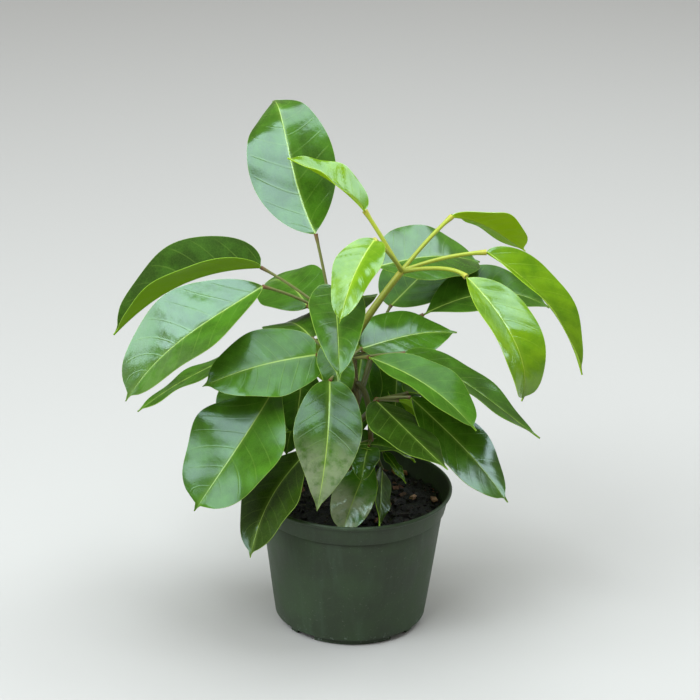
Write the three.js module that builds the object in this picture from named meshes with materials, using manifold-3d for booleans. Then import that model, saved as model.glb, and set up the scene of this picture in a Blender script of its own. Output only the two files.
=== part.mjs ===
// A potted umbrella plant: a moulded nursery pot, potting mix, one woody stem and eight
// palmate fronds. Millimetres, +Z up, origin under the middle of the pot.
import * as THREE from 'three';
import { mergeVertices } from 'three/addons/utils/BufferGeometryUtils.js';
import Module from 'manifold-3d';

const wasm = await Module();
wasm.setup();

// ---- driving dimensions -------------------------------------------------------------
const POT_HEIGHT = 118;
const RIM_RADIUS = 82.5; // 165 mm across the rolled lip
const BASE_RADIUS = 62;
const WALL_FLARE = 0.133; // growth of the radius for each millimetre of height
const WALL = 1.8;
const BAND_HEIGHT = 100; // where the rim band starts
const BAND_STEP = 1.8; // how far the band stands out from the wall
const LIP = 3.2; // width of the rolled lip
const CORNER = 1.2; // rounding where the wall turns under
const FOOT_RADIUS = 59.2; // the pot stands on a ring a little narrower than its wall
const FOOT_HEIGHT = 5;
const FLOOR = 7.4; // height of the floor inside the pot
const DRAIN_TURNS = [41, 66, 114, 139]; // degrees from the front, on both sides
const DRAIN_SKEW = 3; // degrees by which they are all turned to the right
const DRAIN_WIDTH = 18;
const DRAIN_HEIGHT = 4.6;
const DRAIN_REACH = 50; // the channels run from this radius outwards
const DRAIN_HOLE = 3; // radius of a hole
const SOIL_TOP = 101;
const SOIL_RELIEF = 1.6;
const GAP = 0.3;
const STEM_RADIUS = 4.5;
const STEM_FOOT = 45;
const BLADE = 0.9; // thickness of a leaflet
const PETIOLE_RADIUS = 2.2;
const STALK_RADIUS = 1.4;
const HUB_RADIUS = 3.2;
const POT_SIDES = 40;
const SOIL_SIDES = 24;
const CHIPS = 22;
const BLADE_STEPS = 8;
const BLADE_COLUMNS = 2; // one for each half of a folded blade
const RING = 2 * (BLADE_COLUMNS + 1);
const STALK_STEPS = 3;

const UP = new THREE.Vector3(0, 0, 1);
const vec = (p) => new THREE.Vector3(...p);
const radians = THREE.MathUtils.degToRad;

// ---- solids -------------------------------------------------------------------------
function toSolid(geometry) {
  const plain = geometry.clone();
  plain.deleteAttribute('normal');
  plain.deleteAttribute('uv');
  const merged = mergeVertices(plain, 1e-4);
  const mesh = new wasm.Mesh({
    numProp: 3,
    vertProperties: new Float32Array(merged.attributes.position.array),
    triVerts: new Uint32Array(merged.index.array),
  });
  return new wasm.Manifold(mesh);
}

function toGeometry(solid) {
  const mesh = solid.getMesh();
  const geometry = new THREE.BufferGeometry();
  geometry.setAttribute('position', new THREE.BufferAttribute(mesh.vertProperties, 3));
  geometry.setIndex(new THREE.BufferAttribute(mesh.triVerts, 1));
  geometry.computeVertexNormals();
  return geometry;
}

// The largest connected piece of a solid, so no loose scrap is left by a cut.
function mainBody(solid) {
  const pieces = solid.decompose();
  return pieces.reduce((best, piece) => (piece.volume() > best.volume() ? piece : best));
}

function tube(curve, radius, sides, steps) {
  const section = new THREE.Shape();
  section.absarc(0, 0, radius, 0, 2 * Math.PI, false);
  return new THREE.ExtrudeGeometry(section, {
    steps,
    curveSegments: sides / 2,
    extrudePath: curve,
    bevelEnabled: false,
  });
}

function lathe(profile, sides) {
  const points = profile.map(([r, z]) => new THREE.Vector2(r, z));
  return new THREE.LatheGeometry(points, sides).rotateX(Math.PI / 2);
}

function seeded(seed) {
  let state = seed;
  return () => {
    state = (state * 1664525 + 1013904223) % 4294967296;
    return state / 4294967296;
  };
}

// ---- pot ----------------------------------------------------------------------------
const wallRadius = (z) => BASE_RADIUS + WALL_FLARE * z;

function arcPoints(cx, cz, radius, from, to, count) {
  const points = [];
  for (let i = 0; i <= count; i += 1) {
    const angle = radians(from + ((to - from) * i) / count);
    points.push([cx + radius * Math.cos(angle), cz + radius * Math.sin(angle)]);
  }
  return points;
}

function potProfile() {
  const bandFoot = wallRadius(BAND_HEIGHT) + BAND_STEP;
  const lipFoot = POT_HEIGHT - LIP;
  const bead = LIP / 2;
  return [
    [0, 0],
    [FOOT_RADIUS - 0.8, 0],
    [FOOT_RADIUS, 0.8],
    [FOOT_RADIUS, FOOT_HEIGHT],
    ...arcPoints(BASE_RADIUS + 0.6 - CORNER, FOOT_HEIGHT + CORNER, CORNER, -80, 0, 2),
    [wallRadius(BAND_HEIGHT) - 0.6, BAND_HEIGHT - 1.5],
    [bandFoot, BAND_HEIGHT],
    [RIM_RADIUS - LIP + 0.8, lipFoot],
    ...arcPoints(RIM_RADIUS - bead, POT_HEIGHT - bead, bead, -60, 90, 4),
    [RIM_RADIUS - LIP, POT_HEIGHT - 0.4],
    [bandFoot - WALL, BAND_HEIGHT + 1],
    [wallRadius(BAND_HEIGHT) - WALL - 0.6, BAND_HEIGHT - 2],
    [wallRadius(FLOOR) - WALL, FLOOR],
    [0, FLOOR],
  ];
}

// Channels under the base, each with a hole above its inner end.
function potSolid() {
  let pot = toSolid(lathe(potProfile(), POT_SIDES));
  const length = RIM_RADIUS - DRAIN_REACH;
  for (const turn of DRAIN_TURNS.flatMap((angle) => [angle, -angle])) {
    const way = radians(turn + DRAIN_SKEW - 90);
    const channel = new THREE.BoxGeometry(length, DRAIN_WIDTH, 2 * DRAIN_HEIGHT);
    channel.translate(DRAIN_REACH + length / 2, 0, 0).rotateZ(way);
    const hole = new THREE.CylinderGeometry(DRAIN_HOLE, DRAIN_HOLE, 4 * FLOOR, 12);
    hole.rotateX(Math.PI / 2).translate(DRAIN_REACH + 2 * DRAIN_HOLE, 0, 0).rotateZ(way);
    pot = pot.subtract(toSolid(channel)).subtract(toSolid(hole));
  }
  return pot;
}

// ---- potting mix --------------------------------------------------------------------
function soilHeight(x, y) {
  const reach = Math.hypot(x, y) / RIM_RADIUS;
  const lumps = Math.sin(x * 0.19 + 1.3) * Math.cos(y * 0.23 - 0.4)
    + 0.6 * Math.sin(x * 0.41 - y * 0.37);
  return SOIL_TOP + SOIL_RELIEF * lumps + 2 * (1 - reach);
}

function chipSolid(random) {
  const length = 5 + 9 * random();
  const chip = new THREE.BoxGeometry(length, 2.5 + 3.5 * random(), 2.4);
  chip.rotateY(radians(24) * (random() - 0.5)).rotateZ(Math.PI * random());
  const reach = 14 + 52 * Math.sqrt(random());
  const turn = 2 * Math.PI * random();
  const x = reach * Math.cos(turn);
  const y = reach * Math.sin(turn);
  return toSolid(chip.translate(x, y, soilHeight(x, y)));
}

function soilSolid() {
  const edge = wallRadius(SOIL_TOP) - WALL - 2.2;
  const hole = STEM_RADIUS + GAP + 0.2;
  const rings = [];
  for (let r = edge; r > hole + 4; r -= 8) {
    rings.push([r, SOIL_TOP]);
  }
  const body = lathe([
    [0, FLOOR + GAP],
    [wallRadius(FLOOR) - WALL - GAP - 0.6, FLOOR + GAP],
    [wallRadius(BAND_HEIGHT - 6) - WALL - GAP - 1, BAND_HEIGHT - 6],
    ...rings,
    [hole, SOIL_TOP],
    [hole, STEM_FOOT - GAP],
    [0, STEM_FOOT - GAP],
  ], SOIL_SIDES);
  const place = body.attributes.position;
  for (let i = 0; i < place.count; i += 1) {
    if (place.getZ(i) > SOIL_TOP - 0.01) {
      place.setZ(i, soilHeight(place.getX(i), place.getY(i)));
    }
  }
  const random = seeded(7);
  let soil = toSolid(body);
  for (let i = 0; i < CHIPS; i += 1) {
    soil = soil.add(chipSolid(random));
  }
  return mainBody(soil);
}

// ---- stem ---------------------------------------------------------------------------
// The stem is straight in the potting mix and leans a little above it.
const STEM_PATH = new THREE.CatmullRomCurve3([
  [0, 0, STEM_FOOT],
  [0, 0, 80],
  [0, 0, 112],
  [2, 2, 150],
  [0, 4, 195],
  [-4, 4, 240],
].map(vec));
const STEM_TOP = STEM_PATH.getPoint(1);

function stemSolid(radius) {
  const bud = new THREE.SphereGeometry(radius, 8, 6).translate(...STEM_TOP.toArray());
  return toSolid(tube(STEM_PATH, radius, 8, 12)).add(toSolid(bud));
}

// The point on the middle line of the stem at a height.
function stemAt(height) {
  return STEM_PATH.getPoints(200).find((p) => p.z >= height) ?? STEM_TOP;
}

// ---- leaflets -----------------------------------------------------------------------
// Half-width of a blade from its stalk (0) to its tip (1): full in the middle, drawn out
// to a narrow drip tip.
function outline(t, leaf) {
  const along = Math.min(1, Math.max(0, t / 0.95));
  const power = leaf.heel + (leaf.toe - leaf.heel) * along;
  const full = Math.sin(Math.PI * along ** leaf.belly) ** power;
  const drip = 0.2 * Math.min(1, (1 - t) / 0.14) * Math.min(1, t / 0.3);
  return Math.hypot(along < 1 ? full : 0, drip);
}

// A leaflet: where its stalk meets the blade, its tip and its width. lift and hook are the
// angles by which the rib leaves and ends away from the straight line, swing is its bow to
// the side, roll turns the blade about its rib and fold raises both halves.
function leaflet(joint, tip, width, shape = {}) {
  return {
    joint: vec(joint), tip: vec(tip), width,
    lift: 25, hook: 25, swing: 0, roll: 0, fold: 12, wave: 1.2,
    heel: 0.85, toe: 0.62, belly: 0.75, lobe: 0.05, arch: 0.15,
    ...shape,
  };
}

function ribFrame(leaf) {
  const chord = leaf.tip.clone().sub(leaf.joint);
  const length = chord.length();
  const along = chord.normalize();
  const rise = UP.clone().addScaledVector(along, -along.z).normalize();
  const side = along.clone().cross(rise);
  const lift = radians(leaf.lift);
  const hook = radians(leaf.hook);
  const start = along.clone().multiplyScalar(Math.cos(lift)).addScaledVector(rise, Math.sin(lift));
  const end = along.clone().multiplyScalar(Math.cos(hook)).addScaledVector(rise, -Math.sin(hook));
  const pull = 0.38 * length;
  const bow = (4 / 3) * leaf.swing;
  const rib = new THREE.CubicBezierCurve3(
    leaf.joint,
    leaf.joint.clone().addScaledVector(start, pull).addScaledVector(side, bow),
    leaf.tip.clone().addScaledVector(end, -pull).addScaledVector(side, bow),
    leaf.tip,
  );
  return { rib, side, start, length };
}

// Point of the blade at t along the rib and s across it (-1 to 1), and its own normal.
function bladePoint(leaf, frame, t, s) {
  const centre = frame.rib.getPoint(t);
  const ahead = frame.rib.getPoint(Math.min(1, t + 0.01));
  const behind = frame.rib.getPoint(Math.max(0, t - 0.01));
  const along = ahead.sub(behind).normalize();
  const flat = frame.side.clone().addScaledVector(along, -along.dot(frame.side)).normalize();
  const across = flat.applyAxisAngle(along, -radians(leaf.roll));
  const out = across.clone().cross(along);
  const b = Math.abs(s);
  const half = Math.max(0.6, (leaf.width / 2) * outline(t, leaf));
  const fold = radians(leaf.fold);
  const back = 2 * leaf.lobe * frame.length * b ** 1.5 * Math.max(0, 1 - t / 0.35) ** 2
    * outline(t, leaf);
  const ripple = leaf.wave * b * b * Math.sin(2 * Math.PI * (2.3 * t + 0.15 * Math.sign(s)));
  const normal = out.clone().multiplyScalar(Math.cos(fold));
  normal.addScaledVector(across, -Math.sign(s) * Math.sin(fold));
  const point = centre.clone().addScaledVector(across, s * half * Math.cos(fold));
  point.addScaledVector(out, b * half * Math.sin(fold) + ripple);
  point.addScaledVector(along, -back);
  return { point, normal: s === 0 ? out : normal };
}

// A round cross-section of the stalk, with its points in the same order as the blade's.
function stalkRing(curve, side, u, radius) {
  const centre = curve.getPoint(u);
  const along = curve.getTangent(u);
  const across = side.clone().addScaledVector(along, -along.dot(side)).normalize();
  const out = across.clone().cross(along);
  const points = [];
  for (let j = 0; j < RING; j += 1) {
    const angle = Math.PI - (2 * Math.PI * (j + 0.5)) / RING;
    const point = centre.clone().addScaledVector(across, radius * Math.cos(angle));
    points.push(point.addScaledVector(out, radius * Math.sin(angle)));
  }
  return points;
}

// The upper face of the blade from left to right, then the lower face back again.
function bladeRing(leaf, frame, t) {
  const upper = [];
  const lower = [];
  for (let j = 0; j <= BLADE_COLUMNS; j += 1) {
    const { point, normal } = bladePoint(leaf, frame, t, (2 * j) / BLADE_COLUMNS - 1);
    upper.push(point.clone().addScaledVector(normal, BLADE / 2));
    lower.unshift(point.clone().addScaledVector(normal, -BLADE / 2));
  }
  return [...upper, ...lower];
}

// A leaflet with its stalk as one skin: rings along the stalk, then along the blade.
function leafletSolid(hub, leaf, radius) {
  const frame = ribFrame(leaf);
  const reach = hub.distanceTo(leaf.joint);
  const bend = leaf.joint.clone().addScaledVector(frame.start, -leaf.arch * reach)
    .lerp(hub, leaf.arch < 0.3 ? 0.4 : 0);
  const curve = new THREE.QuadraticBezierCurve3(hub, bend, leaf.joint);
  const rings = [];
  for (let i = 0; i <= STALK_STEPS; i += 1) {
    rings.push(stalkRing(curve, frame.side, i / STALK_STEPS, radius));
  }
  for (let i = 1; i <= BLADE_STEPS; i += 1) {
    rings.push(bladeRing(leaf, frame, (1 - Math.cos((Math.PI * i) / BLADE_STEPS)) / 2));
  }
  const index = [];
  for (let i = 0; i < rings.length - 1; i += 1) {
    for (let j = 0; j < RING; j += 1) {
      const a = i * RING + j;
      const b = i * RING + ((j + 1) % RING);
      const c = a + RING;
      const d = b + RING;
      // both faces of a waved blade are split along the same diagonal
      if (j <= BLADE_COLUMNS) {
        index.push(a, b, c, b, d, c);
      } else {
        index.push(a, b, d, a, d, c);
      }
    }
  }
  const last = (rings.length - 1) * RING;
  for (let j = 0; j < BLADE_COLUMNS; j += 1) {
    const twin = RING - 1 - j;
    index.push(j, twin, j + 1, twin, twin - 1, j + 1);
    index.push(last + j, last + j + 1, last + twin, last + twin, last + j + 1, last + twin - 1);
  }
  const positions = rings.flat().flatMap((point) => point.toArray());
  const geometry = new THREE.BufferGeometry();
  geometry.setAttribute('position', new THREE.Float32BufferAttribute(positions, 3));
  geometry.setIndex(index);
  return toSolid(geometry);
}

// ---- fronds -------------------------------------------------------------------------
// Each frond: the height at which its petiole leaves the stem, a point the petiole bends
// towards, the hub where it ends, and the leaflets that spread from the hub.
const L = leaflet;
const FRONDS = [
  {
    name: 'frond_crown',
    slot: 'young_leaf',
    root: 240,
    bend: [6, 4, 264],
    hub: [36, 10, 304],
    petiole: 2.7,
    stalk: 1.7,
    leaves: [
      L([5, 25, 350], [-58, 36, 389], 42, { lift: 15, hook: 12, fold: 25, heel: 0.9 }),
      L([76, 45, 339], [141, 112, 285], 41, { lift: 14, hook: 6, roll: 25, fold: 20,
        heel: 1, toe: 0.45, belly: 1.1, lobe: 0.2 }),
      L([104, 15, 320], [184, -5, 223], 42, { lift: 22, roll: -15, fold: 35, heel: 0.9,
        arch: 0.2 }),
      L([87, -20, 312], [132, -70, 227], 47, { lift: 30, hook: 60, roll: -5, fold: 22,
        heel: 1.1, toe: 0.35, belly: 0.9, arch: 0.3 }),
      L([13, -35, 347], [-13, -105, 304], 38, { lift: 20, heel: 1, toe: 0.5 }),
    ],
  },
  {
    name: 'frond_upper',
    root: 222,
    bend: [-12, 3, 240],
    hub: [-19, 0, 267],
    leaves: [
      L([-34, 20, 331], [-72, 116, 411], 76, { lift: -5, hook: 60, fold: -23, roll: 20,
        swing: -6, heel: 1.15, toe: 0.34, belly: 0.9 }),
      L([-40, 45, 258], [-77, 125, 246], 58, { fold: 0, roll: 22 }),
      L([-78, 15, 303], [-197, 15, 241], 66, { hook: 22, fold: 50, roll: 10, heel: 0.8,
        toe: 0.65 }),
      L([-75, -25, 302], [-182, -60, 215], 76, { lift: 8, hook: 20, roll: 22, fold: 22,
        heel: 0.95, toe: 0.5, belly: 0.95 }),
      L([-18, -35, 306], [-12, -125, 265], 48, { lift: 10, hook: 30, fold: 25 }),
      L([16, 45, 294], [103, 115, 273], 66, { lift: 10, hook: 15, roll: -25, fold: 11,
        toe: 0.42, belly: 0.9 }),
      L([-14, 44, 266], [-4, 140, 204], 54, { lift: 5, hook: 35 }),
    ],
  },
  {
    name: 'frond_middle',
    root: 200,
    bend: [-4, -12, 215],
    hub: [-7, -15, 236],
    leaves: [
      L([-36, 15, 242], [-69, 90, 216], 52, { fold: 5, roll: 10 }),
      L([-32, -30, 246], [-121, -60, 229], 62, { lift: 8, hook: 10, roll: 36, fold: 2,
        lobe: 0.08, heel: 0.6 }),
      L([-58, -25, 228], [-126, -82, 130], 83, { lift: 0, hook: 5, roll: 18, fold: 10,
        swing: -4, wave: 3, heel: 1.2, toe: 0.42, belly: 1.2 }),
      L([-20, -55, 234], [-28, -100, 141], 54, { fold: 6, swing: -5, toe: 1 }),
      L([11, -40, 249], [96, -95, 211], 50, { lift: 15, hook: 20, roll: -3, fold: 17,
        heel: 0.9, toe: 0.4, belly: 1.05 }),
      L([40, -20, 245], [150, -40, 181], 56, { lift: 14, hook: 5, fold: 8, roll: 4 }),
      L([5, 0, 240], [83, 35, 241], 60, { lift: 8, hook: 15, fold: 5, roll: -18, toe: 0.8 }),
      L([16, 18, 232], [66, 50, 224], 40, { lift: 8, hook: 15 }),
      L([-22, -22, 250], [-10, -60, 212], 30),
    ],
  },
  {
    name: 'frond_back',
    root: 185,
    bend: [10, 34, 200],
    hub: [18, 60, 230],
    leaves: [
      L([29, 76, 248], [90, 164, 268], 60, { lift: 5, hook: 15, fold: 5, roll: -12 }),
      L([56, 62, 246], [162, 97, 240], 66, { lift: 26, hook: 35, roll: -12, heel: 1.3,
        toe: 0.45, belly: 1 }),
      L([36, 76, 224], [52, 142, 160], 50),
      L([10, 86, 226], [-2, 156, 168], 56),
      L([6, 60, 212], [0, 38, 142], 44, { lift: 8 }),
      L([36, 60, 214], [34, 34, 156], 46, { lift: 8 }),
    ],
  },
  {
    name: 'frond_right',
    root: 172,
    bend: [10, -22, 188],
    hub: [18, -30, 208],
    leaves: [
      L([18, -50, 215], [74, -115, 186], 58, { lift: 0, hook: 0, fold: -7, roll: 11,
        heel: 0.8, toe: 0.9 }),
      L([45, -40, 215], [125, -60, 133], 60, { lift: 5, hook: 10, fold: 2, roll: -17,
        toe: 0.5, belly: 1 }),
      L([43, -6, 204], [76, 26, 164], 40),
      L([35, -12, 200], [60, 25, 150], 44),
    ],
  },
  {
    name: 'frond_low',
    root: 208,
    bend: [13, -4, 212],
    hub: [14, -12, 164],
    leaves: [
      L([-3, -23, 163], [51, -6, 142], 44),
      L([12, -30, 166], [7, -60, 148], 24),
      L([17, -16, 154], [-8, -69, 106], 36, { lift: 10, hook: 10, roll: 14, fold: 16,
        toe: 0.4, belly: 1.5 }),
      L([24, -15, 139], [22, -69, 113], 24, { roll: 60, lift: 10, hook: 10 }),
      L([25, -15, 155], [43, -45, 141], 10, { lift: 5, hook: 10 }),
      L([25, 5, 160], [45, 55, 128], 40),
    ],
  },
  {
    name: 'frond_left',
    root: 150,
    bend: [-8, -12, 158],
    hub: [-15, -20, 174],
    leaves: [
      L([-39, -45, 165], [-81, -85, 91], 62, { lift: 15, hook: 15, swing: 4, fold: 5,
        roll: -5, heel: 0.9, belly: 0.9 }),
      L([-45, -8, 172], [-105, 5, 118], 52),
      L([-42, 34, 178], [-55, 12, 138], 34),
      L([-42, 4, 219], [-47, -14, 166], 40, { lift: 8, hook: 10 }),
    ],
  },
  {
    name: 'frond_rear',
    root: 160,
    bend: [-25, 20, 185],
    hub: [-58, 50, 221],
    leaves: [
      L([-95, 60, 210], [-180, 40, 162], 46, { lift: 5, hook: 10, roll: -10, fold: 0 }),
      L([-80, 78, 200], [-105, 120, 145], 46),
      L([-62, 90, 208], [-74, 160, 155], 48, { lift: 8 }),
      L([-40, 75, 215], [-25, 120, 155], 46),
      L([-75, 40, 200], [-105, -5, 150], 46),
    ],
  },
];

function frondSolid(frond) {
  const root = stemAt(frond.root);
  const hub = vec(frond.hub);
  const petiole = new THREE.QuadraticBezierCurve3(root, vec(frond.bend), hub);
  const swelling = new THREE.IcosahedronGeometry(HUB_RADIUS, 0).translate(hub.x, hub.y, hub.z);
  let solid = toSolid(tube(petiole, frond.petiole ?? PETIOLE_RADIUS, 6, 7));
  solid = solid.add(toSolid(swelling));
  frond.leaves.forEach((leaf) => {
    solid = solid.add(leafletSolid(hub, leaf, frond.stalk ?? STALK_RADIUS));
  });
  return mainBody(solid.subtract(stemSolid(STEM_RADIUS + GAP))).simplify(0.08);
}

// ---- assembly -----------------------------------------------------------------------
const group = new THREE.Group();

const SLOTS = {
  pot_plastic: { color: 0x35483c, roughness: 0.55 },
  potting_mix: { color: 0x2a1d17, roughness: 0.95 },
  stem_bark: { color: 0x6b5a3a, roughness: 0.8 },
  mature_leaf: { color: 0x2f5a1c, roughness: 0.35 },
  young_leaf: { color: 0x7fa81e, roughness: 0.35 },
};

function addPiece(name, slot, solid) {
  const material = new THREE.MeshStandardMaterial({ ...SLOTS[slot], metalness: 0 });
  material.name = slot;
  const mesh = new THREE.Mesh(toGeometry(solid), material);
  mesh.name = name;
  group.add(mesh);
}

addPiece('pot', 'pot_plastic', potSolid());
addPiece('potting_mix', 'potting_mix', soilSolid());
addPiece('stem', 'stem_bark', stemSolid(STEM_RADIUS));
FRONDS.forEach((frond) => {
  addPiece(frond.name, frond.slot ?? 'mature_leaf', frondSolid(frond));
});

export default group;
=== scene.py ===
import math
import random
from types import SimpleNamespace

import bmesh
import bpy
from mathutils import Matrix, Vector, noise


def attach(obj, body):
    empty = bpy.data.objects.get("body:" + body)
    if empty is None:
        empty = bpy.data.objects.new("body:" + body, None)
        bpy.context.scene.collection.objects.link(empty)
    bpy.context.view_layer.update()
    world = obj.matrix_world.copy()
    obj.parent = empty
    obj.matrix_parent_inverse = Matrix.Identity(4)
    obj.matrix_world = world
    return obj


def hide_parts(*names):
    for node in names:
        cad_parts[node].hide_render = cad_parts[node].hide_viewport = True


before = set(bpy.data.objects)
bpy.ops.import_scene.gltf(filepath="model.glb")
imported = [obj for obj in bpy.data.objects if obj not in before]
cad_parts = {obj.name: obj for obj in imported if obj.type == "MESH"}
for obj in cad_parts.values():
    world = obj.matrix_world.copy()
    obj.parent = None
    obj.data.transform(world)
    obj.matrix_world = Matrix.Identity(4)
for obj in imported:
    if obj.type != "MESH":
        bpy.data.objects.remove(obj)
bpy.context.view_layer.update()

MM = 0.001
UP = Vector((0, 0, 1))


# ---- camera, light and floor ----------------------------------------------------------

PICTURE_PIXELS = 700
FOCAL_PIXELS = 3080
SENSOR_MM = 36
CAMERA_DISTANCE = 2500
CAMERA_ELEVATION = 22.5
CAMERA_TILT = 1.2
CAMERA_TARGET = Vector((-4.4, 0, 238.5))


def add_camera():
    elevation = math.radians(CAMERA_ELEVATION)
    tilt = math.radians(CAMERA_TILT)
    look = Vector((0, math.cos(elevation), -math.sin(elevation)))
    level = Vector((1, 0, 0))
    rise = Vector((0, math.sin(elevation), math.cos(elevation)))
    right = level * math.cos(tilt) + rise * math.sin(tilt)
    top = rise * math.cos(tilt) - level * math.sin(tilt)
    data = bpy.data.cameras.new("camera")
    data.sensor_width = SENSOR_MM
    data.lens = SENSOR_MM * FOCAL_PIXELS / PICTURE_PIXELS
    camera = bpy.data.objects.new("camera", data)
    turn = Matrix((right, top, -look)).transposed().to_4x4()
    place = (CAMERA_TARGET - look * CAMERA_DISTANCE) * MM
    camera.matrix_world = Matrix.Translation(place) @ turn
    bpy.context.scene.collection.objects.link(camera)
    bpy.context.scene.camera = camera


SOFTBOXES = {
    # degrees to the right of straight behind, degrees up, diameter in metres, brightness
    "softbox_top": (0, 80, 2.4, 4.6),
    "softbox_front": (-150, 50, 1.2, 10.0),
    "softbox_left": (-112, 34, 1.6, 7.0),
    "softbox_right": (62, 44, 1.3, 5.0),
    "softbox_low_right": (84, 22, 1.0, 6.0),
    "softbox_front_right": (160, 66, 0.9, 6.0),
}
SOFTBOX_AIM = Vector((0, 0, 0.25))
SOFTBOX_DISTANCE = 2.4
SKY_TINT = (0.84, 0.96, 1.0)
ROOM_TINT = (1.0, 0.88, 0.74)
ROOM_BRIGHTNESS = 0.22


def add_softbox(name, turn, height, size, brightness):
    turn, height = math.radians(turn), math.radians(height)
    level = math.cos(height)
    way = Vector((math.sin(turn) * level, math.cos(turn) * level, math.sin(height)))
    data = bpy.data.lights.new(name, "AREA")
    data.shape = "DISK"
    data.size = size
    data.color = SKY_TINT
    data.energy = brightness * math.pi * (math.pi * size**2 / 4)
    light = bpy.data.objects.new(name, data)
    light.location = SOFTBOX_AIM + way * SOFTBOX_DISTANCE
    light.rotation_euler = (-way).to_track_quat("-Z", "Y").to_euler()
    bpy.context.scene.collection.objects.link(light)


def add_lights():
    for name, numbers in SOFTBOXES.items():
        add_softbox(name, *numbers)
    world = bpy.data.worlds.new("studio")
    world.use_nodes = True
    backdrop = world.node_tree.nodes["Background"]
    backdrop.inputs["Color"].default_value = (*ROOM_TINT, 1)
    backdrop.inputs["Strength"].default_value = ROOM_BRIGHTNESS
    bpy.context.scene.world = world


# ---- shader maths ---------------------------------------------------------------------


class Value:
    """A number that changes over a surface: arithmetic on it adds Math nodes."""

    def __init__(self, finish, socket):
        self.finish = finish
        self.socket = socket

    def math(self, operation, *others):
        terms = dict(enumerate((self, *others)))
        return self.finish.node("Math", {"operation": operation}, terms)

    def __add__(self, other):
        return self.math("ADD", other)

    def __sub__(self, other):
        return self.math("SUBTRACT", other)

    def __mul__(self, other):
        return self.math("MULTIPLY", other)

    def __truediv__(self, other):
        return self.math("DIVIDE", other)

    def __rsub__(self, other):
        return self.finish.node("Math", {"operation": "SUBTRACT"}, {0: other, 1: self})

    __radd__ = __add__
    __rmul__ = __mul__

    def most(self, other):
        return self.math("MAXIMUM", other)

    def fraction(self):
        return self.math("FRACT")

    def size(self):
        return self.math("ABSOLUTE")

    def step(self, low, high, start=0.0, end=1.0):
        """Goes smoothly from start to end as the value goes from low to high."""
        settings = {"interpolation_type": "SMOOTHSTEP"}
        inputs = {
            "Value": self,
            "From Min": low,
            "From Max": high,
            "To Min": start,
            "To Max": end,
        }
        return self.finish.node("MapRange", settings, inputs)


class Finish:
    """A material under construction."""

    def __init__(self, name):
        self.material = bpy.data.materials.new(name)
        self.material.use_nodes = True
        self.tree = self.material.node_tree
        self.shader = self.tree.nodes["Principled BSDF"]

    def feed(self, socket, value):
        if isinstance(value, Value):
            self.tree.links.new(value.socket, socket)
        else:
            socket.default_value = value

    def node(self, kind, settings=None, inputs=None, output=0):
        node = self.tree.nodes.new("ShaderNode" + kind)
        for key, value in (settings or {}).items():
            setattr(node, key, value)
        for key, value in (inputs or {}).items():
            self.feed(node.inputs[key], value)
        return Value(self, node.outputs[output])

    def field(self, name):
        """A number stored on the mesh."""
        return self.node("Attribute", {"attribute_name": name}, output=2)

    def where(self):
        return self.node("TexCoord", output=3)

    def stretched(self, scale):
        return self.node("Mapping", None, {"Vector": self.where(), "Scale": scale})

    def noise(self, scale, detail=3.0, rough=0.5, vector=None):
        inputs = {
            "Vector": vector or self.where(),
            "Scale": scale,
            "Detail": detail,
            "Roughness": rough,
        }
        return self.node("TexNoise", None, inputs)

    def blend(self, amount, first, second):
        """The first colour where amount is 0, the second where it is 1."""
        node = self.node("Mix", {"data_type": "RGBA"}, {"Factor": amount}, output=2)
        made = node.socket.node
        self.feed(made.inputs[6], first)
        self.feed(made.inputs[7], second)
        return node

    def bump(self, height, distance, strength=1.0):
        inputs = {"Height": height, "Distance": distance, "Strength": strength}
        return self.node("Bump", None, inputs)

    def over(self, share, other):
        """Lets another shader take over where share is 1."""
        first = Value(self, self.shader.outputs[0])
        both = self.node("MixShader", None, {0: share, 1: first, 2: other})
        self.feed(self.tree.nodes["Material Output"].inputs["Surface"], both)
        return self.material

    def done(self, **sockets):
        """Sets the shader's sockets by name, with _ for each space."""
        for name, value in sockets.items():
            self.feed(self.shader.inputs[name.replace("_", " ")], value)
        return self.material


def colour(code):
    """A colour as the shader wants it, from the usual six hexadecimal digits."""
    parts = [int(code[i : i + 2], 16) / 255 for i in (0, 2, 4)]
    return (*[p / 12.92 if p < 0.04 else ((p + 0.055) / 1.055) ** 2.4 for p in parts], 1)


# ---- materials ------------------------------------------------------------------------

SHEEN_TINT = (0.78, 0.97, 1.0, 1)


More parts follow.
